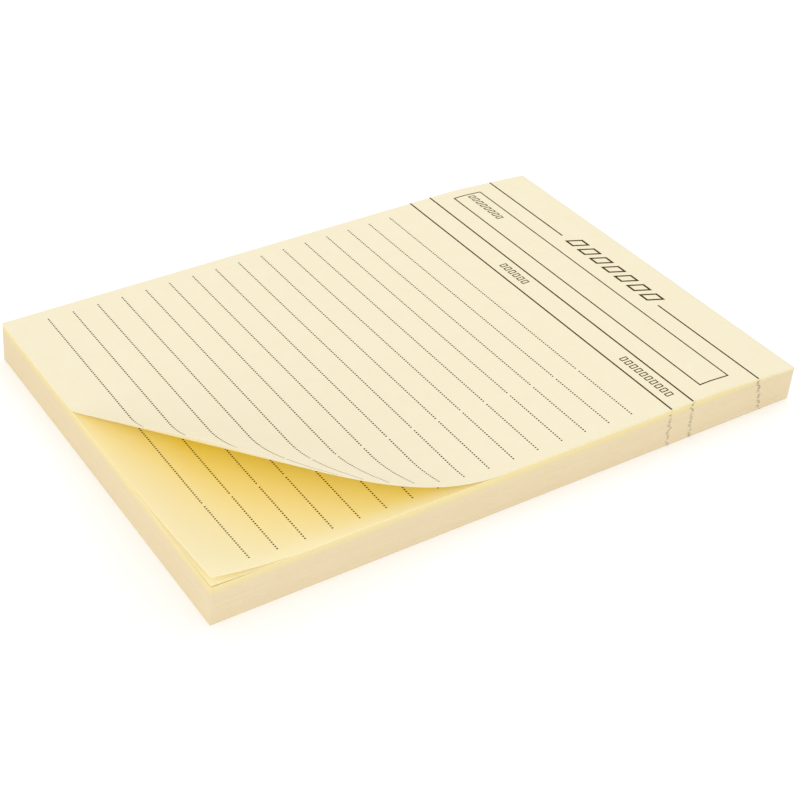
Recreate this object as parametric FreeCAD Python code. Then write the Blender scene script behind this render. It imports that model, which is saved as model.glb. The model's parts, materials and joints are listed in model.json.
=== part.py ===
import FreeCAD, Part
import math
import os
from FreeCAD import Vector

os.makedirs("parts", exist_ok=True)

# The object is a block of printed task sheets, glued together along its head edge. It lies flat, with its
# head towards +Y and its foot towards -Y.
# Lengths are in millimetres. Sheets are laid out flat first: x and y run along the sheet from its middle,
# and height is counted up from the top of the bound stack.

# Paper
sheet_width = 101.6
sheet_length = 139.7
sheet_thickness = 0.1
stack_height = 8.8
stack_lean = 0.7  # how far the top of the stack has slid towards the head

# The head zone, where the sheets lie closer, and the film of glue over their ends
head_zone_length = 20.0
head_zone_fall = 1.38
glue_thickness = 0.2

# Ink, and the air that its thickness leaves between two loose sheets
ink_thickness = 0.02
ink_clearance = 0.01
rule_width = 0.3
line_width = 0.4
frame_width = 0.3

# Ruled lines
rule_count = 16
first_rule_from_foot = 9.36
last_rule_from_column_line = 8.1
rule_left_margin = 3.76
rule_right_margin = 3.15
column_gap_from_right = 22.86
column_gap = 1.25
uncovered_rule_count = 8

# Heading lines and the long box, measured down from the head edge
column_line_from_head = 33.74
label_line_from_head = 28.04
title_line_from_head = 10.09
title_gap_start = -19.7
title_gap_end = 16.8
box_low_from_head = 23.14
box_high_from_head = 15.16
box_left_margin = 3.24
box_right_margin = 3.83

# Plain shapes that stand where the sheet has words
title_shape_count = 7
title_shape_height = 4.2
title_shape_width = 3.1
title_shape_slant = 1.5
title_shape_stroke = 0.45
title_row_start = -17.4
title_row_end = 15.5
title_row_from_head = 11.1
label_shape_height = 1.9
label_shape_width = 1.15
label_shape_spacing = 1.7
label_shape_stroke = 0.25
box_label_left_margin = 4.3
box_label_count = 8
box_label_from_head = 19.6
left_label_start = -15.1
left_label_count = 6
right_label_right_margin = 4.1
right_label_count = 10
column_labels_from_head = 31.7

# Where the bleeding heading lines show on the cut sides of the stack
mark_width = 0.5
column_mark_drift = 0.3
label_mark_drift = 0.7
title_mark_drift = 2.0

# The corner of each of the top three sheets rises. The runs say how far from the corner, along the
# foot edge and along the side edge, a sheet leaves the one below. Its bend lines fan out from a
# centre beyond the foot edge. Crease and bow are ratios: how far the paper tilts for each radian of
# the fan, at the first bend line, where the crease adds to the bow, and far from it.
top_foot_run = 63.4
top_side_run = 63.7
top_centre_distance = 3.0
top_crease_ratio = 5.1
top_crease_fade_angle = 0.125
top_bow_ratio = 0.19
top_straight_tip = 10.0

second_foot_run = 50.1
second_side_run = 21.2
second_centre_distance = 200.0
second_bow_ratio = 2.9
second_straight_tip = 5.0

third_foot_run = 36.0
third_side_run = 15.6
third_centre_distance = 200.0
third_bow_ratio = 1.0
third_straight_tip = 4.0

curl_sections = 20
curl_steps = 80
section_crowding = 1.4

# Values that follow from the ones above
half_width = sheet_width / 2
half_length = sheet_length / 2
fold_y = half_length - head_zone_length
rule_room = sheet_length - first_rule_from_foot - column_line_from_head - last_rule_from_column_line
rule_spacing = rule_room / (rule_count - 1)
head_angle = math.asin(head_zone_fall / head_zone_length)
sheet_gap = ink_thickness + ink_clearance
third_sheet_low = sheet_gap
second_sheet_low = third_sheet_low + sheet_thickness + sheet_gap
top_sheet_low = second_sheet_low + sheet_thickness + sheet_gap
second_ink_low = second_sheet_low + sheet_thickness
top_ink_low = top_sheet_low + sheet_thickness


class Curl:
    """A raised sheet corner: straight bend lines that fan out from a centre beyond the foot edge."""

    def __init__(self, foot_run, side_run, centre_distance, bow, straight_tip, crease=0.0, crease_fade=1.0):
        self.foot_point = Vector(half_width - foot_run, -half_length, 0)
        self.side_point = Vector(half_width, side_run - half_length, 0)
        self.corner = Vector(half_width, -half_length, 0)
        self.bow = bow
        self.crease = crease
        self.crease_fade = crease_fade
        self.along = (self.side_point - self.foot_point).normalize()
        self.centre = self.foot_point - self.along * centre_distance
        self.first_angle = self.angle_of(self.side_point)
        self.tip_turn = self.turn_of(self.corner - Vector(straight_tip, 0, 0))
        shares = [(number / curl_sections) ** section_crowding for number in range(curl_sections + 1)]
        self.bend_turns = [self.tip_turn * share for share in shares]

    def angle_of(self, point):
        return math.atan2(point.y - self.centre.y, point.x - self.centre.x)

    def turn_of(self, point):
        """How far round the fan a flat point lies, from the line where the sheet leaves the one below."""
        return self.first_angle - self.angle_of(point)

    def curvature(self, turn):
        return self.crease * math.exp(-turn / self.crease_fade) + self.bow

    def frame_at(self, turn):
        """The direction of the bend line at this turn, and the sheet's upward normal along it."""
        direction = Vector(self.along)
        normal = Vector(0, 0, 1)
        bent_turn = min(turn, self.tip_turn)
        step = bent_turn / curl_steps
        for number in range(curl_steps):
            bend = self.curvature((number + 0.5) * step)
            axis = direction * -bend - normal
            rotation = FreeCAD.Rotation(axis, math.degrees(axis.Length * step))
            direction = rotation.multVec(direction)
            normal = rotation.multVec(normal)
        straight_turn = FreeCAD.Rotation(normal, -math.degrees(turn - bent_turn))
        return straight_turn.multVec(direction), normal

    def raised(self, point, height):
        """Where a flat point of the raised corner comes to lie, with its height above the sheet's base."""
        direction, normal = self.frame_at(self.turn_of(point))
        flat = Vector(point.x, point.y, 0)
        return self.centre + direction * (flat - self.centre).Length + normal * height

    def crossing(self, turn, y):
        """The flat point at which the bend line at this turn crosses a line of constant y."""
        angle = self.first_angle - turn
        return Vector(self.centre.x + (y - self.centre.y) / math.tan(angle), y, 0)

    def side_crossing(self, turn):
        """The flat point at which the bend line at this turn meets the side edge."""
        angle = self.first_angle - turn
        return Vector(half_width, self.centre.y + (half_width - self.centre.x) * math.tan(angle), 0)


def layer_point(y, height):
    """A point of the block's lengthwise section, at this distance along a sheet and this height."""
    if y <= fold_y:
        return Vector(0, y, height)
    past = y - fold_y
    along = past * math.cos(head_angle) + height * math.sin(head_angle)
    return Vector(0, fold_y + along, height * math.cos(head_angle) - past * math.sin(head_angle))


def fold_point(height):
    """Where a layer at this height turns down into the head zone."""
    return Vector(0, fold_y + height * math.tan(head_angle / 2), height)


def layer_line(y_start, y_end, height):
    """One side of a layer's lengthwise section, with its fold where the layer crosses it."""
    points = [layer_point(y_start, height)]
    if y_start < fold_y < y_end:
        points.append(fold_point(height))
    points.append(layer_point(y_end, height))
    return points


def prism(outline, depth):
    """The solid between a closed flat outline and the same outline moved by depth."""
    return Part.Face(Part.makePolygon(outline + outline[:1])).extrude(depth)


def bar(x_start, x_end, y_start, y_end, low, high):
    """A flat bar that follows the block's lengthwise section between two heights."""
    points = layer_line(y_start, y_end, low) + layer_line(y_start, y_end, high)[::-1]
    points = [point + Vector(x_start, 0, 0) for point in points]
    return prism(points, Vector(x_end - x_start, 0, 0))


def section_wire(curl, flat_start, flat_end, low, high):
    """The thin upright section of a raised layer along one bend line."""
    corners = [
        curl.raised(flat_start, low),
        curl.raised(flat_end, low),
        curl.raised(flat_end, high),
        curl.raised(flat_start, high),
    ]
    return Part.makePolygon(corners + corners[:1])


def raised_solid(curl, turns, near_line, far_line, low, high):
    """A raised layer between two flat outlines, each given as the point where it meets a bend line."""
    wires = [section_wire(curl, near_line(turn), far_line(turn), low, high) for turn in turns]
    return Part.makeLoft(wires, True, True)


def bound_stack():
    """The bound sheets as one solid: it leans towards the head, and its head zone falls away."""
    outline = [
        Vector(-half_width, -half_length - stack_lean, -stack_height),
        Vector(half_width, -half_length - stack_lean, -stack_height),
        Vector(half_width, half_length - stack_lean, -stack_height),
        Vector(-half_width, half_length - stack_lean, -stack_height),
    ]
    stack = prism(outline, Vector(0, stack_lean, stack_height))
    room = bar(-sheet_width, sheet_width, fold_y, half_length + head_zone_length, 0, stack_height)
    return stack.cut(room)


def sheet(curl, low):
    """One loose sheet with its raised corner."""
    high = low + sheet_thickness
    plate = bar(-half_width, half_width, -half_length, half_length, low, high)
    beyond = sheet_thickness + half_width
    outline = [
        curl.foot_point,
        curl.side_point,
        Vector(beyond, curl.side_point.y, 0),
        Vector(beyond, -half_length - sheet_thickness, 0),
        Vector(curl.foot_point.x, -half_length - sheet_thickness, 0),
    ]
    corner_room = prism(outline, Vector(0, 0, high + sheet_thickness))
    foot_crossing = lambda turn: curl.crossing(turn, -half_length)
    raised_part = raised_solid(curl, curl.bend_turns, foot_crossing, curl.side_crossing, low, high)
    tip_points = [foot_crossing(curl.tip_turn), curl.corner, curl.side_crossing(curl.tip_turn)]
    tip_outline = [curl.raised(point, low) for point in tip_points]
    tip_normal = curl.frame_at(curl.tip_turn)[1]
    tip = prism(tip_outline, tip_normal * sheet_thickness)
    return plate.cut(corner_room).fuse([raised_part, tip]).removeSplitter()


def head_glue():
    """The film of glue over the head ends of the stack and of the loose sheets."""
    lean_slope = stack_lean / stack_height
    fall_slope = math.tan(head_angle)
    stack_top_z = -fall_slope * head_zone_length / (1 + fall_slope * lean_slope)
    inner = [
        Vector(-half_width, half_length - stack_lean, -stack_height),
        Vector(-half_width, half_length + lean_slope * stack_top_z, stack_top_z),
        layer_point(half_length, third_sheet_low) - Vector(half_width, 0, 0),
        layer_point(half_length, top_ink_low) - Vector(half_width, 0, 0),
    ]
    film = Vector(0, glue_thickness, 0)
    outline = inner + [inner[3] + film, inner[0] + film]
    return prism(outline, Vector(sheet_width, 0, 0))


def ink_rule(curl, x_start, x_end, y, low):
    """One printed rule, from x_start to x_end, which follows the sheet up its raised corner."""
    high = low + ink_thickness
    y_low = y - rule_width / 2
    y_high = y + rule_width / 2
    start_turn = curl.turn_of(Vector(x_start, y, 0))
    end_turn = curl.turn_of(Vector(x_end, y, 0))
    if end_turn <= 0:
        return bar(x_start, x_end, y_low, y_high, low, high)
    raised_start = max(start_turn, 0)
    turns = [turn for turn in curl.bend_turns if raised_start < turn < end_turn]
    turns = [raised_start] + turns + [end_turn]
    low_crossing = lambda turn: curl.crossing(turn, y_low)
    high_crossing = lambda turn: curl.crossing(turn, y_high)
    raised_part = raised_solid(curl, turns, low_crossing, high_crossing, low, high)
    if start_turn >= 0:
        return raised_part
    outline = [Vector(x_start, y_low, low), curl.crossing(0, y_low) + Vector(0, 0, low)]
    outline += [curl.crossing(0, y_high) + Vector(0, 0, low), Vector(x_start, y_high, low)]
    flat_part = prism(outline, Vector(0, 0, ink_thickness))
    return flat_part.fuse(raised_part)


def rules(curl, count, low):
    """The ruled lines of one sheet, each in two lengths with the column gap between them."""
    left = -half_width + rule_left_margin
    right = half_width - rule_right_margin
    gap_middle = half_width - column_gap_from_right + column_gap / 2
    solids = []
    for number in range(count):
        y = -half_length + first_rule_from_foot + number * rule_spacing
        solids.append(ink_rule(curl, left, gap_middle - column_gap / 2, y, low))
        solids.append(ink_rule(curl, gap_middle + column_gap / 2, right, y, low))
    return Part.makeCompound(solids)


def frame(x_start, x_end, y_start, y_end, stroke, low):
    """An open rectangle of ink."""
    high = low + ink_thickness
    outside = bar(x_start, x_end, y_start, y_end, low, high)
    inside = bar(x_start + stroke, x_end - stroke, y_start + stroke, y_end - stroke, low, high)
    return outside.cut(inside)


def cross_line(from_head, x_start, x_end, low):
    """A heading line across the sheet, or across a part of it."""
    y = half_length - from_head
    return bar(x_start, x_end, y - line_width / 2, y + line_width / 2, low, low + ink_thickness)


def heading_lines(low):
    """The heading's lines and its long open box."""
    solids = [
        cross_line(column_line_from_head, -half_width, half_width, low),
        cross_line(label_line_from_head, -half_width, half_width, low),
        cross_line(title_line_from_head, -half_width, title_gap_start, low),
        cross_line(title_line_from_head, title_gap_end, half_width, low),
    ]
    box_left = -half_width + box_left_margin
    box_right = half_width - box_right_margin
    box_low = half_length - box_low_from_head
    box_high = half_length - box_high_from_head
    solids.append(frame(box_left, box_right, box_low, box_high, frame_width, low))
    return Part.makeCompound(solids)


def slanted_shape(x, y, low):
    """One open slanted shape of the title row, on the head zone."""
    slope = title_shape_slant / title_shape_height
    side = title_shape_stroke * math.sqrt(1 + slope * slope)
    outer = [Vector(x, y, low), Vector(x + title_shape_width, y, low)]
    outer += [point + Vector(title_shape_slant, title_shape_height, 0) for point in outer[::-1]]
    rise = title_shape_stroke
    inner_low = Vector(x + side + rise * slope, y + rise, low)
    inner = [inner_low, inner_low + Vector(title_shape_width - 2 * side, 0, 0)]
    inner_rise = title_shape_height - 2 * rise
    inner += [point + Vector(inner_rise * slope, inner_rise, 0) for point in inner[::-1]]
    up = Vector(0, 0, ink_thickness)
    solid = prism(outer, up)
    solid = solid.cut(prism(inner, up))
    solid.rotate(Vector(0, fold_y, 0), Vector(1, 0, 0), -math.degrees(head_angle))
    return solid


def label_shapes(start, count, from_head, low):
    """A row of small open shapes in place of a printed label."""
    y = half_length - from_head
    solids = []
    for number in range(count):
        x = start + number * label_shape_spacing
        solids.append(frame(x, x + label_shape_width, y, y + label_shape_height, label_shape_stroke, low))
    return solids


def heading_shapes(low):
    """The plain shapes of the title and of the three labels."""
    right_label_width = (right_label_count - 1) * label_shape_spacing + label_shape_width
    right_label_start = half_width - right_label_right_margin - right_label_width
    box_label_start = -half_width + box_label_left_margin
    solids = label_shapes(box_label_start, box_label_count, box_label_from_head, low)
    solids += label_shapes(left_label_start, left_label_count, column_labels_from_head, low)
    solids += label_shapes(right_label_start, right_label_count, column_labels_from_head, low)
    room = title_row_end - title_row_start - title_shape_width - title_shape_slant
    spacing = room / (title_shape_count - 1)
    for number in range(title_shape_count):
        x = title_row_start + number * spacing
        solids.append(slanted_shape(x, half_length - title_row_from_head, low))
    return Part.makeCompound(solids)


def side_mark(side, from_head, drift):
    """The line of ink ends that a bleeding heading line leaves down one cut side of the stack."""
    top = layer_point(half_length - from_head, 0)
    low_y = top.y + drift - stack_lean
    x = side * half_width
    outline = [
        Vector(x, top.y - mark_width / 2, top.z),
        Vector(x, top.y + mark_width / 2, top.z),
        Vector(x, low_y + mark_width / 2, -stack_height),
        Vector(x, low_y - mark_width / 2, -stack_height),
    ]
    return prism(outline, Vector(side * ink_thickness, 0, 0))


def side_marks(side):
    """The three marks on one side of the stack."""
    solids = [
        side_mark(side, column_line_from_head, column_mark_drift),
        side_mark(side, label_line_from_head, label_mark_drift),
        side_mark(side, title_line_from_head, title_mark_drift),
    ]
    return Part.makeCompound(solids)


def save(shape, name):
    """Stands a shape on the ground, centred over the whole object's outline, and writes it."""
    foot_end = -half_length - stack_lean
    head_end = layer_point(half_length, top_ink_low).y + glue_thickness
    shape.translate(Vector(0, -(foot_end + head_end) / 2, stack_height))
    print(name, "solids", len(shape.Solids), "valid", shape.isValid(), "volume", round(shape.Volume, 3))
    shape.exportStep("parts/" + name + ".step")


top_curl = Curl(
    top_foot_run,
    top_side_run,
    top_centre_distance,
    top_bow_ratio,
    top_straight_tip,
    top_crease_ratio,
    top_crease_fade_angle,
)
second_curl = Curl(
    second_foot_run,
    second_side_run,
    second_centre_distance,
    second_bow_ratio,
    second_straight_tip,
)
third_curl = Curl(
    third_foot_run,
    third_side_run,
    third_centre_distance,
    third_bow_ratio,
    third_straight_tip,
)

save(bound_stack(), "sheet_stack")
save(sheet(third_curl, third_sheet_low), "third_sheet")
save(sheet(second_curl, second_sheet_low), "second_sheet")
save(sheet(top_curl, top_sheet_low), "top_sheet")
save(head_glue(), "head_glue")
save(rules(second_curl, uncovered_rule_count, second_ink_low), "second_sheet_rules")
save(rules(top_curl, rule_count, top_ink_low), "top_sheet_rules")
save(heading_lines(top_ink_low), "heading_lines")
save(heading_shapes(top_ink_low), "heading_shapes")
save(side_marks(1), "side_marks_right")
save(side_marks(-1), "side_marks_left")
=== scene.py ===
# %% [markdown]
# # A note pad with a curled corner
#
# The object is a block of cream task sheets, glued together along the head. The near corner of the loose
# top sheet is curled up, and the next sheets show under it. This lesson builds every sheet flat, where it
# is easy to measure, and then bends it with one function, because that is what happens to real paper: it
# is printed and cut flat, and it bends without stretching.

# %% Load the frame
import json
import math
import random

import bmesh
import bpy
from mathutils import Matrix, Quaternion, Vector

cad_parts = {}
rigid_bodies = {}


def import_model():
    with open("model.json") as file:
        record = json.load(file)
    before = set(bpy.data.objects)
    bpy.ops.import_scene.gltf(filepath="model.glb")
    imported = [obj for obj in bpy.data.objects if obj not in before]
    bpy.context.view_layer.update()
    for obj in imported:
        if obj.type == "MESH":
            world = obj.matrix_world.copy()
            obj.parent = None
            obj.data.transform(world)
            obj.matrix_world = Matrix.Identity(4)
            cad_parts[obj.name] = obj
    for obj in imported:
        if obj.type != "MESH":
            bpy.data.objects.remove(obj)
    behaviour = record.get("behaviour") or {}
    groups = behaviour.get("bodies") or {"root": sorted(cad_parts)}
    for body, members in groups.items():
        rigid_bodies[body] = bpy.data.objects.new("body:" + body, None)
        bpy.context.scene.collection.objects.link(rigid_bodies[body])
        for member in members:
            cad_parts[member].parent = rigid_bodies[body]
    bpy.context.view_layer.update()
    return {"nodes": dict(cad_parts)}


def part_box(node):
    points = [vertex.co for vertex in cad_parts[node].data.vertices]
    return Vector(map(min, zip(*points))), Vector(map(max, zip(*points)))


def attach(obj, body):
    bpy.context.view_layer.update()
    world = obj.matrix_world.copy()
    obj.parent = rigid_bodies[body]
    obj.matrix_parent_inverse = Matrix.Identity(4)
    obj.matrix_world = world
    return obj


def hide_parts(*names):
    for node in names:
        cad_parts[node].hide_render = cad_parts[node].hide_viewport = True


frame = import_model()
MM = 0.001
print("nodes", sorted(frame["nodes"]))

# %% [markdown]
# ## The sheet's sizes
#
# Everything printed on the sheet is measured on the flat paper, in millimetres, from the middle of the
# sheet. The height is counted from the top of the bound stack. The block's own place comes from the
# frame, so that the sheets stand where the solid model has them.

# %% Sizes of the paper
SHEET_WIDTH = 101.6
SHEET_LENGTH = 139.7
SHEET_THICKNESS = 0.1
INK_THICKNESS = 0.02
SHEET_GAP = 0.03
STACK_HEIGHT = 8.8
STACK_LEAN = 0.7
HEAD_ZONE_LENGTH = 20.0
HEAD_ZONE_FALL = 1.38
HALF_WIDTH = SHEET_WIDTH / 2
HALF_LENGTH = SHEET_LENGTH / 2
FOLD_Y = HALF_LENGTH - HEAD_ZONE_LENGTH
HEAD_ANGLE = math.asin(HEAD_ZONE_FALL / HEAD_ZONE_LENGTH)
SHEET_PITCH = SHEET_THICKNESS + SHEET_GAP
LOOSE_ORDER = ("third_sheet", "second_sheet", "top_sheet")
LOOSE_LOW = {name: SHEET_GAP + place * SHEET_PITCH for place, name in enumerate(LOOSE_ORDER)}

FOOT_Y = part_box("sheet_stack")[0].y / MM
SHEET_SHIFT = Vector((0, FOOT_Y + HALF_LENGTH + STACK_LEAN, STACK_HEIGHT))
print("sheet frame sits at", [round(v, 3) for v in SHEET_SHIFT])

# %% [markdown]
# ## The curl
#
# A paper corner that is lifted doesn't bend like a ball or a wave. Paper can't stretch, so it always has
# straight lines in it, and here they fan out from a point just beyond the foot edge. The bend is then a
# piece of a cone. The function walks round the fan in small steps. At each step it turns the line's
# direction and the paper's normal by a small rotation: one part of it follows the fan, and the other
# part, the curvature, lifts the paper. It is strong at the crease and fades towards the tip.


# %% The bend of a raised corner
class Curl:
    """A raised corner with straight bend lines that fan out from a centre beyond the foot edge."""

    STEPS = 400

    def __init__(self, foot_run, side_run, centre_distance, bow, straight_tip, crease=0.0, crease_fade=1.0):
        foot_point = Vector((HALF_WIDTH - foot_run, -HALF_LENGTH, 0))
        side_point = Vector((HALF_WIDTH, side_run - HALF_LENGTH, 0))
        along = (side_point - foot_point).normalized()
        self.centre = foot_point - along * centre_distance
        self.first_angle = self.angle_of(side_point.x, side_point.y)
        self.tip_turn = self.turn_of(HALF_WIDTH - straight_tip, -HALF_LENGTH)
        self.last_turn = self.turn_of(HALF_WIDTH, -HALF_LENGTH)
        self.step = self.last_turn / self.STEPS
        self.lines = [(along, Vector((0, 0, 1)))]
        for number in range(self.STEPS + 1):
            turn = (number + 0.5) * self.step
            curvature = crease * math.exp(-turn / crease_fade) + bow if turn < self.tip_turn else 0.0
            direction, normal = self.lines[-1]
            axis = -direction * curvature - normal
            rotation = Quaternion(axis, axis.length * self.step)
            self.lines.append((rotation @ direction, rotation @ normal))

    def angle_of(self, x, y):
        return math.atan2(y - self.centre.y, x - self.centre.x)

    def turn_of(self, x, y):
        """How far round the fan a flat point lies, from the line where the sheet leaves the one below."""
        return self.first_angle - self.angle_of(x, y)

    def raised(self, x, y, height, turn):
        """Where a flat point of the raised corner comes to lie."""
        place = min(turn / self.step, self.STEPS)
        number = int(place)
        share = place - number
        direction = self.lines[number][0].lerp(self.lines[number + 1][0], share).normalized()
        normal = self.lines[number][1].lerp(self.lines[number + 1][1], share).normalized()
        distance = math.hypot(x - self.centre.x, y - self.centre.y)
        return self.centre + direction * distance + normal * height


CURLS = {
    "top_sheet": Curl(
        foot_run=63.4,
        side_run=63.7,
        centre_distance=3.0,
        bow=0.19,
        straight_tip=10.0,
        crease=5.1,
        crease_fade=0.125,
    ),
    "second_sheet": Curl(foot_run=50.1, side_run=21.2, centre_distance=200.0, bow=2.9, straight_tip=5.0),
    "third_sheet": Curl(foot_run=36.0, side_run=15.6, centre_distance=200.0, bow=1.0, straight_tip=4.0),
}
print("the top sheet's fan turns", round(math.degrees(CURLS["top_sheet"].last_turn), 1), "degrees")


# %% [markdown]
# ## From flat to bent
#
# One function takes a flat point with its height and gives its place on the pad. Past the fold at the
# head the layers lie at a small angle, because the sheets are pressed closer there. On the curl the point
# follows the cone. The same function bends the paper and the ink, so the ink always lies on its sheet.


# %% Bend a point, then a mesh
def placed(point, curl=None):
    """The place on the pad of a flat point (x, y, height), in metres."""
    x, y, height = point
    turn = curl.turn_of(x, y) if curl else 0.0
    if turn > 0 and y < FOLD_Y:
        bent = curl.raised(x, y, height, turn)
    elif y > FOLD_Y:
        past = y - FOLD_Y
        run = past * math.cos(HEAD_ANGLE) + height * math.sin(HEAD_ANGLE)
        bent = Vector((x, FOLD_Y + run, height * math.cos(HEAD_ANGLE) - past * math.sin(HEAD_ANGLE)))
    else:
        bent = Vector((x, y, height))
    return (bent + SHEET_SHIFT) * MM


def bend(mesh, curl=None):
    """Moves every vertex of a flat mesh to its place on the pad."""
    for vertex in mesh.verts:
        vertex.co = placed(vertex.co, curl)


# %% [markdown]
# ## From bmesh to object
#
# Each piece is finished the same way: its flat place is kept as a UV map in metres, so that a pattern can
# follow the paper round its bend, its faces are smoothed up to a sharp angle, and it rides on the only
# body.


# %% Finish a piece
SHARP_ANGLE = math.radians(35)


def finished(mesh, name, nodes, curl=None, bends=True):
    """Bends a flat bmesh and makes it an object that stands for these nodes of the frame."""
    uv = mesh.loops.layers.uv.new("flat_sheet")
    for face in mesh.faces:
        face.smooth = True
        for loop in face.loops:
            loop[uv].uv = (loop.vert.co.x * MM, loop.vert.co.y * MM)
    if bends:
        bend(mesh, curl)
    else:
        bmesh.ops.translate(mesh, vec=SHEET_SHIFT, verts=mesh.verts)
        bmesh.ops.scale(mesh, vec=(MM, MM, MM), verts=mesh.verts)
    data = bpy.data.meshes.new(name)
    mesh.to_mesh(data)
    mesh.free()
    data.set_sharp_from_angle(angle=SHARP_ANGLE)
    piece = bpy.data.objects.new(name, data)
    bpy.context.scene.collection.objects.link(piece)
    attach(piece, "root")
    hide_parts(*nodes)
    print(name, "has", len(data.polygons), "faces")
    return piece


# %% [markdown]
# ## A loose sheet
#
# A sheet starts as a flat grid, because a bend needs rows of vertices to bend along. A cell is about a
# millimetre, fine enough for the crease to look round. The grid is extruded by the paper's thickness
# while it is still flat. Solidify could do that later, but then the thickness would have to follow the
# bend by itself.


# %% Make the three loose sheets
def flat_sheet(low, cell):
    """A flat sheet of paper as a grid of square cells with a real thickness."""
    mesh = bmesh.new()
    columns = round(SHEET_WIDTH / cell)
    rows = round(SHEET_LENGTH / cell)
    bmesh.ops.create_grid(mesh, x_segments=columns, y_segments=rows, size=0.5)
    bmesh.ops.scale(mesh, vec=(SHEET_WIDTH, SHEET_LENGTH, 1), verts=mesh.verts)
    bmesh.ops.translate(mesh, vec=(0, 0, low), verts=mesh.verts)
    flat_faces = list(mesh.faces)
    raised = bmesh.ops.extrude_face_region(mesh, geom=flat_faces)
    upper = [item for item in raised["geom"] if isinstance(item, bmesh.types.BMVert)]
    bmesh.ops.translate(mesh, vec=(0, 0, SHEET_THICKNESS), verts=upper)
    bmesh.ops.recalc_face_normals(mesh, faces=mesh.faces)
    return mesh


SHEET_CELL = {"top_sheet": 1.0, "second_sheet": 1.6, "third_sheet": 2.4}
sheets = {}
for name, cell in SHEET_CELL.items():
    sheet_mesh = flat_sheet(LOOSE_LOW[name], cell)
    sheets[name] = finished(sheet_mesh, "loose_" + name, [name], CURLS[name])

# %% [markdown]
# ## The bound stack
#
# Below the loose sheets lie about ninety bound ones. They could be one block with lines painted on its
# sides. Here each one is a thin plate of its own, a hair out of line with its neighbours, because that is
# what makes the soft streaks on the cut sides of a real pad. Each plate is a cube with one cut across it
# at the fold.

# %% Make the bound sheets
BOUND_COUNT = 88
CUT_UNEVENNESS = 0.018
random.seed(7)


def bound_sheet(mesh, number):
    """One plate of the stack, from its place in the lean to its fall at the head."""
    pitch = STACK_HEIGHT / BOUND_COUNT
    low = -STACK_HEIGHT + number * pitch
    made = bmesh.ops.create_cube(mesh, size=1.0)["verts"]
    bmesh.ops.scale(mesh, vec=(SHEET_WIDTH, SHEET_LENGTH, pitch), verts=made)
    bmesh.ops.translate(mesh, vec=(0, 0, low + pitch / 2), verts=made)
    plate = list({face for vertex in made for face in vertex.link_faces})
    edges = list({edge for vertex in made for edge in vertex.link_edges})
    everything = made + edges + plate
    cut = bmesh.ops.bisect_plane(mesh, geom=everything, plane_co=(0, FOLD_Y, 0), plane_no=(0, 1, 0))
    fold = [item for item in cut["geom_cut"] if isinstance(item, bmesh.types.BMVert)]
    side_step = random.uniform(-CUT_UNEVENNESS, CUT_UNEVENNESS)
    end_step = random.uniform(-CUT_UNEVENNESS, CUT_UNEVENNESS)
    for vertex in set(made + fold):
        level = (vertex.co.z + STACK_HEIGHT) / STACK_HEIGHT
        past = max(vertex.co.y - FOLD_Y, 0)
        lean = (level - 1) * STACK_LEAN
        vertex.co.x += side_step - math.copysign(CUT_UNEVENNESS, vertex.co.x)
        vertex.co.y += lean + end_step - math.copysign(CUT_UNEVENNESS, vertex.co.y)
        vertex.co.z -= past * math.sin(HEAD_ANGLE) * level


stack_mesh = bmesh.new()
for number in range(BOUND_COUNT):
    bound_sheet(stack_mesh, number)
finished(stack_mesh, "bound_sheets", ["sheet_stack"], bends=False)

# %% [markdown]
# ## The glue at the head
#
# Padding glue is brushed over the ends of the clamped sheets and dries to a thin skin. The skin here is a
# cube, divided along its length and height, that leans with the stack. Its outer side gets a slight
# random unevenness, as a brush leaves it, and stays inside the thickness that the frame gives it.

# %% Make the glue
GLUE_THICKNESS = 0.2
GLUE_CUTS = 24
GLUE_INNER_LAP = 0.05
GLUE_UNEVENNESS = 0.06

glue_mesh = bmesh.new()
bmesh.ops.create_cube(glue_mesh, size=1.0)
long_edges = [edge for edge in glue_mesh.edges if abs(edge.verts[0].co.y - edge.verts[1].co.y) < 0.5]
bmesh.ops.subdivide_edges(glue_mesh, edges=long_edges, cuts=GLUE_CUTS, use_grid_fill=True)
top_low = LOOSE_LOW["top_sheet"] + SHEET_THICKNESS
head_top = Vector((
    0,
    FOLD_Y + HEAD_ZONE_LENGTH * math.cos(HEAD_ANGLE) + top_low * math.sin(HEAD_ANGLE),
    top_low * math.cos(HEAD_ANGLE) - HEAD_ZONE_FALL,
))
head_foot = Vector((0, HALF_LENGTH - STACK_LEAN, -STACK_HEIGHT))
for vertex in glue_mesh.verts:
    across, side, level = vertex.co
    place = head_foot.lerp(head_top, level + 0.5)
    outwards = GLUE_THICKNESS - random.uniform(0, GLUE_UNEVENNESS) if side > 0 else -GLUE_INNER_LAP
    vertex.co = (across * SHEET_WIDTH, place.y + outwards, place.z)
finished(glue_mesh, "padding_glue", ["head_glue"], bends=False)

# %% [markdown]
# ## The dotted rules
#
# The sheet's rules are rows of fine dots, 0.72 mm apart, with one dot left out between the wide and the
# narrow column. A pattern in the material could draw them, but a pattern this fine is lost when it is
# baked. Here each dot is a disc of ink with a real thickness. One rule is made dot by dot, and the others
# are copies of it, one rule pitch apart. Then the same bend as the sheet's carries them up the curl.

# %% Make the rules
RULE_COUNT = 16
UNCOVERED_RULES = 8
FIRST_RULE_FROM_FOOT = 9.36
RULE_PITCH = 5.9
RULE_LEFT = -HALF_WIDTH + 3.76
RULE_RIGHT = HALF_WIDTH - 3.15
COLUMN_GAP_LEFT = HALF_WIDTH - 22.86
DOT_PITCH = 0.72
DOT_RADIUS = 0.2
DOT_SIDES = 8


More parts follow.
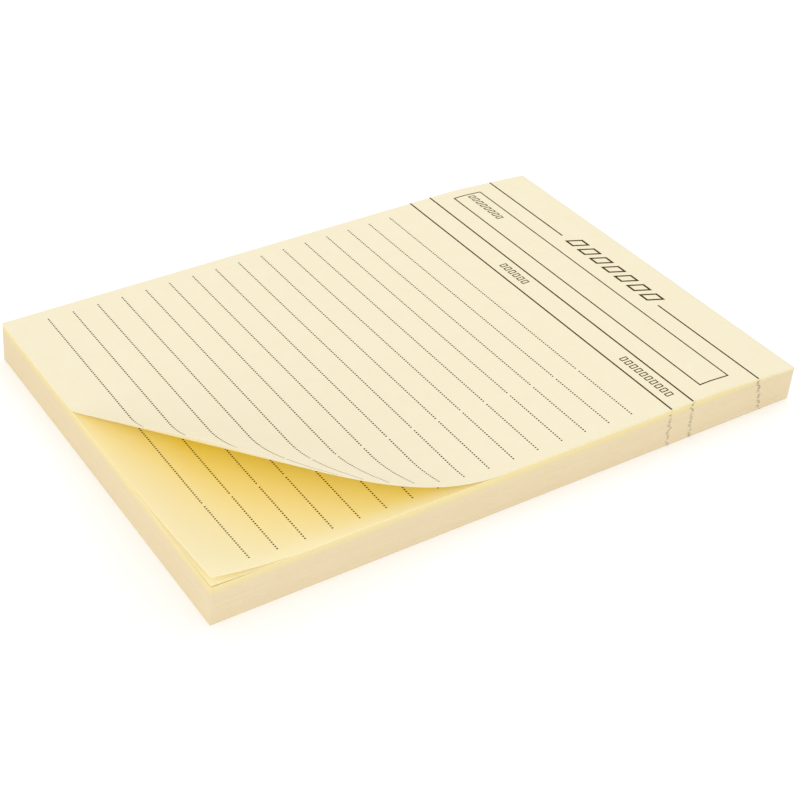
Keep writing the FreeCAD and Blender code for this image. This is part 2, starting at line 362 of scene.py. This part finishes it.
def ink_dot(mesh, x, y, low):
    """One disc of ink, standing on the paper."""
    disc = bmesh.ops.create_circle(mesh, cap_ends=True, segments=DOT_SIDES, radius=DOT_RADIUS)["verts"]
    bmesh.ops.translate(mesh, vec=(x, y, low), verts=disc)
    face = disc[0].link_faces[0]
    raised = bmesh.ops.extrude_face_region(mesh, geom=[face])["geom"]
    upper = [item for item in raised if isinstance(item, bmesh.types.BMVert)]
    bmesh.ops.translate(mesh, vec=(0, 0, INK_THICKNESS), verts=upper)


def dotted_rules(low, count):
    """Rules of dots from side to side, with a dot left out at the column gap."""
    mesh = bmesh.new()
    dots = round((RULE_RIGHT - RULE_LEFT) / DOT_PITCH)
    pitch = (RULE_RIGHT - RULE_LEFT) / dots
    gap_dot = round((COLUMN_GAP_LEFT + DOT_PITCH - RULE_LEFT) / pitch)
    for number in range(dots + 1):
        if number != gap_dot:
            ink_dot(mesh, RULE_LEFT + number * pitch, -HALF_LENGTH + FIRST_RULE_FROM_FOOT, low)
    first_rule = mesh.verts[:] + mesh.edges[:] + mesh.faces[:]
    for number in range(1, count):
        copy = bmesh.ops.duplicate(mesh, geom=first_rule)["geom"]
        copied = [item for item in copy if isinstance(item, bmesh.types.BMVert)]
        bmesh.ops.translate(mesh, vec=(0, number * RULE_PITCH, 0), verts=copied)
    bmesh.ops.recalc_face_normals(mesh, faces=mesh.faces)
    return mesh


INK_LOW = {name: low + SHEET_THICKNESS for name, low in LOOSE_LOW.items()}
finished(
    dotted_rules(INK_LOW["top_sheet"], RULE_COUNT),
    "top_sheet_dots",
    ["top_sheet_rules"],
    CURLS["top_sheet"],
)
finished(
    dotted_rules(INK_LOW["second_sheet"], UNCOVERED_RULES),
    "second_sheet_dots",
    ["second_sheet_rules"],
    CURLS["second_sheet"],
)

# %% [markdown]
# ## The heading
#
# The heading has three lines that run off both sides of the sheet, a long open box, and rows of plain
# open shapes. A line is a flat rectangle. A shape is a rectangle with an inset, and the face inside the
# inset is deleted. Each is extruded by the ink's thickness, and what crosses the fold at the head is cut
# there, so that it can bend with the sheet.

# %% Make flat shapes of ink
heading_low = INK_LOW["top_sheet"]


def flat_face(mesh, left, right, near, far):
    """A flat rectangle of ink, before it has a thickness."""
    corners = bmesh.ops.create_grid(mesh, x_segments=1, y_segments=1, size=0.5)["verts"]
    bmesh.ops.scale(mesh, vec=(right - left, far - near, 1), verts=corners)
    bmesh.ops.translate(mesh, vec=((left + right) / 2, (near + far) / 2, heading_low), verts=corners)
    return corners[0].link_faces[0]


def open_shape(mesh, left, right, near, far, stroke, slant=0.0):
    """An open rectangle, leaning to the right by its slant over its whole height."""
    face = flat_face(mesh, left, right, near, far)
    bmesh.ops.inset_individual(mesh, faces=[face], thickness=stroke, use_even_offset=True)
    ring = list({vertex for corner in face.verts for edge in corner.link_edges for vertex in edge.verts})
    bmesh.ops.delete(mesh, geom=[face], context="FACES_ONLY")
    for vertex in ring:
        vertex.co.x += slant * (vertex.co.y - near) / (far - near)


def inked(mesh):
    """Gives flat faces the ink's thickness and cuts them where the sheet folds."""
    everything = mesh.verts[:] + mesh.edges[:] + mesh.faces[:]
    bmesh.ops.bisect_plane(mesh, geom=everything, plane_co=(0, FOLD_Y, 0), plane_no=(0, 1, 0))
    raised = bmesh.ops.extrude_face_region(mesh, geom=mesh.faces[:])["geom"]
    upper = [item for item in raised if isinstance(item, bmesh.types.BMVert)]
    bmesh.ops.translate(mesh, vec=(0, 0, INK_THICKNESS), verts=upper)
    bmesh.ops.recalc_face_normals(mesh, faces=mesh.faces)
    return mesh


# %% Make the heading's lines and box
LINE_WIDTH = 0.38
BOX_STROKE = 0.32
LOWER_LINE_Y = HALF_LENGTH - 33.74
MIDDLE_LINE_Y = HALF_LENGTH - 28.04
UPPER_LINE_Y = HALF_LENGTH - 10.09
UPPER_LINE_GAP = (-19.7, 16.8)
BOX_X = (-HALF_WIDTH + 3.24, HALF_WIDTH - 3.83)
BOX_Y = (HALF_LENGTH - 23.14, HALF_LENGTH - 15.16)

# Each piece of a line: its middle, its left end and its right end.
LINE_PIECES = (
    (LOWER_LINE_Y, -HALF_WIDTH, HALF_WIDTH),
    (MIDDLE_LINE_Y, -HALF_WIDTH, HALF_WIDTH),
    (UPPER_LINE_Y, -HALF_WIDTH, UPPER_LINE_GAP[0]),
    (UPPER_LINE_Y, UPPER_LINE_GAP[1], HALF_WIDTH),
)

lines_mesh = bmesh.new()
for y, left, right in LINE_PIECES:
    flat_face(lines_mesh, left, right, y - LINE_WIDTH / 2, y + LINE_WIDTH / 2)
open_shape(lines_mesh, *BOX_X, *BOX_Y, BOX_STROKE)
finished(inked(lines_mesh), "heading_ink_lines", ["heading_lines"])

# %% Make the rows of plain shapes
LARGE_COUNT = 7
LARGE_SIZE = (3.1, 4.2)
LARGE_SLANT = 1.5
LARGE_STROKE = 0.55
LARGE_ROW = (-17.4, 15.5)
LARGE_Y = HALF_LENGTH - 11.1
SMALL_SIZE = (1.15, 1.9)
SMALL_PITCH = 1.7
SMALL_STROKE = 0.25
RIGHT_ROW_COUNT = 10
RIGHT_ROW_WIDTH = (RIGHT_ROW_COUNT - 1) * SMALL_PITCH + SMALL_SIZE[0]
# Each row: its left end, its foot and how many shapes it has.
SMALL_ROWS = (
    (-HALF_WIDTH + 4.3, HALF_LENGTH - 19.6, 8),
    (-15.1, HALF_LENGTH - 31.7, 6),
    (HALF_WIDTH - 4.1 - RIGHT_ROW_WIDTH, HALF_LENGTH - 31.7, RIGHT_ROW_COUNT),
)

shapes_mesh = bmesh.new()
large_pitch = (LARGE_ROW[1] - LARGE_ROW[0] - LARGE_SIZE[0] - LARGE_SLANT) / (LARGE_COUNT - 1)
for number in range(LARGE_COUNT):
    left = LARGE_ROW[0] + number * large_pitch
    far = LARGE_Y + LARGE_SIZE[1]
    open_shape(shapes_mesh, left, left + LARGE_SIZE[0], LARGE_Y, far, LARGE_STROKE, LARGE_SLANT)
for start, y, count in SMALL_ROWS:
    for number in range(count):
        left = start + number * SMALL_PITCH
        open_shape(shapes_mesh, left, left + SMALL_SIZE[0], y, y + SMALL_SIZE[1], SMALL_STROKE)
finished(inked(shapes_mesh), "heading_plain_shapes", ["heading_shapes"])

# %% [markdown]
# ## The marks on the cut sides
#
# The heading's lines run off the sheet, so each sheet of the stack shows the end of its line as a speck
# of ink on the cut side. The sheets aren't quite in line, and together the specks make a broken,
# wandering grey line. Each speck is a flat cube. Its place follows the lean of the stack, with a zigzag
# and a little chance.

# %% Make the side marks
# Each mark: the place of its line, and how far towards the head it has drifted on the lowest sheet.
MARKS = ((LOWER_LINE_Y, 0.3), (MIDDLE_LINE_Y, 0.7), (UPPER_LINE_Y, 2.0))
SPECK_SIZE = (0.02, 0.5, 0.075)
ZIGZAG_SHEETS = 11
ZIGZAG_WIDTH = 0.55
SPECK_SCATTER = 0.28
SPECK_MISSING = 0.38


def side_specks(side):
    """The ink ends of the three heading lines down one cut side."""
    mesh = bmesh.new()
    for line_y, drift in MARKS:
        fall = max(line_y - FOLD_Y, 0) * math.sin(HEAD_ANGLE)
        for number in range(BOUND_COUNT):
            level = (number + 0.5) / BOUND_COUNT
            wave = abs((number / ZIGZAG_SHEETS) % 2 - 1) * 2 - 1
            y = line_y + (drift - STACK_LEAN) * (1 - level)
            y += wave * ZIGZAG_WIDTH / 2 + random.uniform(-SPECK_SCATTER, SPECK_SCATTER)
            missing = random.random() < SPECK_MISSING
            if missing:
                continue
            z = -STACK_HEIGHT * (1 - level) - fall * level
            speck = bmesh.ops.create_cube(mesh, size=1.0)["verts"]
            bmesh.ops.scale(mesh, vec=SPECK_SIZE, verts=speck)
            bmesh.ops.translate(mesh, vec=(side * (HALF_WIDTH - SPECK_SIZE[0] / 4), y, z), verts=speck)
    return mesh


finished(side_specks(1), "right_side_specks", ["side_marks_right"], bends=False)
finished(side_specks(-1), "left_side_specks", ["side_marks_left"], bends=False)

# %% [markdown]
# ## Shader maths as plain Python
#
# A material is a small network of nodes. Written link by link, its maths is hard to read. The class below
# wraps a socket, so that sums and products of sockets and numbers read as they do on paper, and each adds
# its node.


# %% A socket that can be added and multiplied
class Value:
    """One output socket of a material's node tree."""

    def __init__(self, tree, socket):
        self.tree = tree
        self.socket = socket

    def math(self, operation, *others):
        node = self.tree.nodes.new("ShaderNodeMath")
        node.operation = operation
        for number, value in enumerate(others):
            connect(self.tree, value, node.inputs[number])
        return Value(self.tree, node.outputs[0])

    def __add__(self, other):
        return self.math("ADD", self, other)

    def __mul__(self, other):
        return self.math("MULTIPLY", self, other)

    __radd__ = __add__
    __rmul__ = __mul__


def connect(tree, value, socket):
    """Links a value to a socket, or writes a plain number or colour on it."""
    if isinstance(value, Value):
        tree.links.new(value.socket, socket)
    else:
        socket.default_value = value


class Finish:
    """A material and the nodes that vary it."""

    # A colour mix keeps its sockets behind those of its number and vector mixes.
    MIX_COLOURS = (6, 7)
    MIX_RESULT = 2

    def __init__(self, name, roughness):
        self.material = bpy.data.materials.new(name)
        self.material.use_nodes = True
        self.tree = self.material.node_tree
        self.shader = self.tree.nodes["Principled BSDF"]
        self.shader.inputs["Roughness"].default_value = roughness
        self.shader.inputs["Specular IOR Level"].default_value = PAPER_SPECULAR

    def node(self, kind, output, settings=None, **sockets):
        """Adds any node: its settings first, then its sockets by name, with _ for a space."""
        node = self.tree.nodes.new(kind)
        for name, value in (settings or {}).items():
            setattr(node, name, value)
        for name, value in sockets.items():
            connect(self.tree, value, node.inputs[name.replace("_", " ")])
        return Value(self.tree, node.outputs[output])

    def feed(self, socket, value):
        """Links a value to the shader, or sets a constant on it."""
        connect(self.tree, value, self.shader.inputs[socket])

    def mix(self, share, first, second):
        """A colour between two others."""
        node = self.tree.nodes.new("ShaderNodeMix")
        node.data_type = "RGBA"
        connect(self.tree, share, node.inputs["Factor"])
        connect(self.tree, first, node.inputs[self.MIX_COLOURS[0]])
        connect(self.tree, second, node.inputs[self.MIX_COLOURS[1]])
        return Value(self.tree, node.outputs[self.MIX_RESULT])

    def grain(self, place, scale, detail=2.0):
        """Soft noise from 0 to 1 in every direction."""
        return self.node("ShaderNodeTexNoise", "Fac", Vector=place, Scale=scale, Detail=detail)

    def bumps(self, height, distance):
        """Small unevenness that only turns the light."""
        self.feed("Normal", self.node("ShaderNodeBump", "Normal", Height=height, Distance=distance))


def colour(red, green, blue):
    """A colour written as it looks on the screen, from 0 to 255, as Blender's own linear values."""
    def linear(part):
        part /= 255
        return part / 12.92 if part <= 0.04045 else ((part + 0.055) / 1.055) ** 2.4

    return linear(red), linear(green), linear(blue), 1.0


PAPER_SPECULAR = 0.25

# %% [markdown]
# ## The paper
#
# Uncoated cream paper is matt, and two things are seen on it: a cloudy unevenness a few millimetres wide,
# and a tooth of fibres that is finer than a third of a millimetre. Both are noise, one for the colour and
# one for the height. The pattern reads the flat sheet's own map, so that it bends with the paper.
#
# Light passes through the thin raised sheet and bounces many times between cream sheets, and each time
# more blue is lost, so the gap under the curl looks golden. That light is painted here. The sheet below
# stores how deep each point lies under the curl. Its colour turns towards a painted golden light and it
# gives a faint painted glow of its own, both following that depth.

# %% How deep a point lies under the curl
CREAM = colour(248, 238, 209)
CREAM_CLOUD = colour(246, 235, 203)
PAINTED_LIT_CREAM = colour(255, 246, 209)
PAINTED_GOLDEN_LIGHT = colour(234, 198, 0)
PALE_GLOW = (0.35, 0.28, 0.16, 1.0)
GOLD_GLOW = (0.86, 0.8, 0.0, 1.0)
GLOW_STRENGTH = 0.17
GLOW_REACH = 50.0
CLOSED_REACH = 12.0
OPEN_FOOT = 15.0
OPEN_SIDE = 4.0
EDGE_SHARE = 0.54


def store_depth(piece, rule):
    """Writes a number from 0 to 1 on every vertex: how deep it lies under the curl."""
    data = piece.data
    layer = data.attributes.new("under_curl", "FLOAT", "POINT")
    for vertex in data.vertices:
        x = vertex.co.x / MM
        y = vertex.co.y / MM - SHEET_SHIFT.y
        layer.data[vertex.index].value = rule(x, y)


def depth_below_curl(x, y):
    """One at the line where the top sheet leaves this one, less away from it and near the open edges."""
    curl = CURLS["top_sheet"]
    turn = curl.turn_of(x, y)
    distance = math.hypot(x - curl.centre.x, y - curl.centre.y) * abs(math.sin(turn))
    reach = GLOW_REACH if turn > 0 else CLOSED_REACH
    edge = min((HALF_LENGTH + y) / OPEN_FOOT, (HALF_WIDTH - x) / OPEN_SIDE, 1.0)
    inside = EDGE_SHARE + (1 - EDGE_SHARE) * max(edge, 0.0)
    return max(0.0, 1.0 - distance / reach) * inside


for name in ("second_sheet", "third_sheet"):
    store_depth(sheets[name], depth_below_curl)

# %% Paper finishes
PAPER_ROUGHNESS = 0.85
CLOUD_SCALE = 260.0
CLOUD_DETAIL = 3.0
TOOTH_SCALE = 2600.0
TOOTH_HEIGHT = 0.01 * MM


def toothed_paper(name):
    """Matt paper with its tooth, and the flat place of each of its points."""
    finish = Finish(name, PAPER_ROUGHNESS)
    flat = finish.node("ShaderNodeUVMap", "UV", {"uv_map": "flat_sheet"})
    finish.bumps(finish.grain(flat, TOOTH_SCALE), TOOTH_HEIGHT)
    return finish, flat


top_finish, flat = toothed_paper("cream paper")
cloud = top_finish.grain(flat, CLOUD_SCALE, CLOUD_DETAIL)
top_finish.feed("Base Color", top_finish.mix(cloud, CREAM, CREAM_CLOUD))

glow_finish, flat = toothed_paper("cream paper with painted golden light under the curl")
depth = glow_finish.node("ShaderNodeAttribute", "Fac", {"attribute_name": "under_curl"})
# Painted light: the colour runs from a painted lit cream to a painted golden light, and a faint painted
# glow follows, deeper under the curl.
glow_finish.feed("Base Color", glow_finish.mix(depth * depth, PAINTED_LIT_CREAM, PAINTED_GOLDEN_LIGHT))
glow_finish.feed("Emission Color", glow_finish.mix(depth * depth, PALE_GLOW, GOLD_GLOW))
glow_finish.feed("Emission Strength", GLOW_STRENGTH)
print("paper nodes", len(top_finish.tree.nodes), "and under the curl", len(glow_finish.tree.nodes))

# %% [markdown]
# ## The cut sides
#
# The guillotine leaves the sides smooth but not even: sheets that stand a hair back lie in a little shade,
# and that shade is painted as long faint darker streaks that follow the sheets. The streaks are noise,
# stretched many times along the sheets. The uppermost edges let some light through, and that light is
# painted: the side turns pale yellow there.

# %% Side finish
SIDE_LIGHT = colour(243, 228, 194)
SIDE_DARK = colour(236, 217, 178)
SIDE_TOP_PAINTED_LIGHT = colour(248, 232, 174)
TOP_FROM = 6.8 * MM
TOP_FULL = 8.4 * MM
SIDE_ROUGHNESS = 0.9
STREAK_SCALE = (25.0, 25.0, 4200.0)
STREAK_DETAIL = 3.0
STREAK_SHARE = 0.7
PATCH_SCALE = 90.0
PATCH_DETAIL = 1.0

side_finish = Finish("cut sides of the sheets", SIDE_ROUGHNESS)
place = side_finish.node("ShaderNodeTexCoord", "Object")
stretched = side_finish.node("ShaderNodeMapping", "Vector", Vector=place, Scale=STREAK_SCALE)
streak = side_finish.grain(stretched, 1.0, STREAK_DETAIL)
patch = side_finish.grain(place, PATCH_SCALE, PATCH_DETAIL)
# Painted shade: darker streaks along the sheets, mixed with softer patches of tone.
uneven = streak * STREAK_SHARE + patch * (1 - STREAK_SHARE)
streaked = side_finish.mix(uneven, SIDE_LIGHT, SIDE_DARK)
height = side_finish.node("ShaderNodeSeparateXYZ", "Z", Vector=place)
painted_light_near_top = side_finish.node(
    "ShaderNodeMapRange",
    "Result",
    Value=height,
    From_Min=TOP_FROM,
    From_Max=TOP_FULL,
)
# Painted light: the side turns pale yellow towards its top edge.
side_finish.feed("Base Color", side_finish.mix(painted_light_near_top, streaked, SIDE_TOP_PAINTED_LIGHT))
print("side nodes", len(side_finish.tree.nodes))

# %% [markdown]
# ## Ink and glue
#
# The ink is a dark olive brown. It soaks into the paper, so it is nearly as matt, and it prints a little
# unevenly. Under the curl the ink gets a warmer copy of its colour, a painted golden light. On the cut
# sides only the ends of the ink layers show, thinned out by the paper between them, so the specks are a
# lighter grey brown. The glue is a clear skin that dries to a dull gloss.

# %% Ink and glue finishes
INK_DARK = colour(54, 43, 6)
INK_LIGHT = colour(76, 62, 14)
PAINTED_GOLD_INK_DARK = colour(72, 44, 0)
PAINTED_GOLD_INK_LIGHT = colour(92, 62, 0)
INK_SPECULAR = 0.05
INK_ROUGHNESS = 0.7
INK_SCALE = 1500.0
SPECK_DARK = colour(162, 152, 126)
SPECK_LIGHT = colour(204, 193, 166)
GLUE_CLEAR = colour(240, 236, 222)
GLUE_CLOUD = colour(230, 222, 200)
SPECK_ROUGHNESS = 0.85
SPECK_SCALE = 900.0
GLUE_ROUGHNESS = 0.4
GLUE_SCALE = 120.0


def speckled(name, roughness, scale, first, second):
    """A finish whose colour varies between two shades."""
    finish = Finish(name, roughness)
    place = finish.node("ShaderNodeTexCoord", "Object")
    finish.feed("Base Color", finish.mix(finish.grain(place, scale), first, second))
    return finish


ink_finish = speckled("brown printing ink", INK_ROUGHNESS, INK_SCALE, INK_DARK, INK_LIGHT)
# Painted light: a warmer copy of the ink for the sheet under the curl, coloured as if lit by golden light.
painted_gold_ink_finish = speckled("ink in painted golden light", INK_ROUGHNESS, INK_SCALE, PAINTED_GOLD_INK_DARK, PAINTED_GOLD_INK_LIGHT)
for finish in (ink_finish, painted_gold_ink_finish):
    finish.feed("Specular IOR Level", INK_SPECULAR)
speck_finish = speckled("ink ends on the cut sides", SPECK_ROUGHNESS, SPECK_SCALE, SPECK_DARK, SPECK_LIGHT)
glue_finish = speckled("dried padding glue", GLUE_ROUGHNESS, GLUE_SCALE, GLUE_CLEAR, GLUE_CLOUD)

# %% Dress the pieces
DRESS = {
    "loose_top_sheet": top_finish,
    "loose_second_sheet": glow_finish,
    "loose_third_sheet": glow_finish,
    "bound_sheets": side_finish,
    "padding_glue": glue_finish,
    "top_sheet_dots": ink_finish,
    "second_sheet_dots": painted_gold_ink_finish,
    "heading_ink_lines": ink_finish,
    "heading_plain_shapes": ink_finish,
    "right_side_specks": speck_finish,
    "left_side_specks": speck_finish,
}
for name, finish in DRESS.items():
    bpy.data.objects[name].data.materials.append(finish.material)
print("dressed", len(DRESS), "pieces")

# %% [markdown]
# ## Floor, light and camera
#
# The pad lies on a plain white floor. A pale sky lights it evenly from all round. One wide soft lamp from
# above gives the curl its form, and one beside the camera lights the cut sides. Floor and sky add a
# little light of their own where they are seen directly, so that they look white and the floor still
# keeps the pad's soft shadow.

# %% Rays that show the background itself
WHITE = (1.0, 1.0, 1.0, 1.0)
BLACK = (0.0, 0.0, 0.0, 1.0)
BACKGROUND_RAYS = ("Is Camera Ray", "Is Glossy Ray", "Is Transmission Ray")


def seen_directly(tree):
    """One for a ray from the camera, a shiny surface or a clear one, and zero for plain light."""
    rays = tree.nodes.new("ShaderNodeLightPath")
    camera_ray, glossy_ray, clear_ray = (Value(tree, rays.outputs[name]) for name in BACKGROUND_RAYS)
    return camera_ray + glossy_ray + clear_ray


# %% Floor
FLOOR_SIZE = 4.0
FLOOR_WHITE = (0.93, 0.93, 0.93, 1.0)
FLOOR_ROUGHNESS = 0.9
FLOOR_LIFT = 0.16

floor_mesh = bmesh.new()
bmesh.ops.create_grid(floor_mesh, x_segments=1, y_segments=1, size=FLOOR_SIZE / 2)
floor_data = bpy.data.meshes.new("floor")
floor_mesh.to_mesh(floor_data)
floor_mesh.free()
floor = bpy.data.objects.new("floor", floor_data)
bpy.context.scene.collection.objects.link(floor)
floor_finish = Finish("white floor", FLOOR_ROUGHNESS)
floor_finish.feed("Base Color", FLOOR_WHITE)
floor_finish.feed("Emission Color", floor_finish.mix(seen_directly(floor_finish.tree), BLACK, WHITE))
floor_finish.feed("Emission Strength", FLOOR_LIFT)
floor.data.materials.append(floor_finish.material)
print("floor", FLOOR_SIZE, "m wide")

# %% Light
SKY_STRENGTH = 0.8
SKY_LIFT = 0.2
LAMP_SIZE = 0.7
# Each lamp: its name, its power in watts and its place in metres.
LAMPS = (
    ("soft lamp above", 1.5, Vector((-0.25, 0.35, 0.75))),
    ("soft lamp beside the camera", 1.8, Vector((0.5, -0.65, 0.3))),
)

world = bpy.data.worlds.new("sky")
bpy.context.scene.world = world
world.use_nodes = True
background = world.node_tree.nodes["Background"]
background.inputs["Color"].default_value = WHITE
sky = seen_directly(world.node_tree) * SKY_LIFT + SKY_STRENGTH
connect(world.node_tree, sky, background.inputs["Strength"])
for name, power, place in LAMPS:
    lamp_data = bpy.data.lights.new(name, "AREA")
    lamp_data.size = LAMP_SIZE
    lamp_data.energy = power
    lamp = bpy.data.objects.new(name, lamp_data)
    lamp.location = place
    lamp.rotation_euler = (-place).to_track_quat("-Z", "Y").to_euler()
    bpy.context.scene.collection.objects.link(lamp)
    print(name, "gives", power, "W from", round(place.length, 2), "m")

# %% Camera
LENS = 78.204
EYE = Vector((267.49, -166.38, 217.44)) * MM
AZIMUTH = math.radians(57.794)
ELEVATION = math.radians(35.347)
ROLL = math.radians(0.716)

level_run = math.cos(ELEVATION)
forward = Vector((-math.sin(AZIMUTH) * level_run, math.cos(AZIMUTH) * level_run, -math.sin(ELEVATION)))
camera_data = bpy.data.cameras.new("camera")
camera_data.lens = LENS
camera = bpy.data.objects.new("camera", camera_data)
upright = forward.to_track_quat("-Z", "Y")
camera.rotation_mode = "QUATERNION"
camera.rotation_quaternion = upright @ Quaternion((0, 0, 1), ROLL)
camera.location = EYE
bpy.context.scene.collection.objects.link(camera)
bpy.context.scene.camera = camera
bpy.context.scene.view_settings.view_transform = "Standard"
print("camera", round(EYE.length, 3), "m from the middle of the pad")
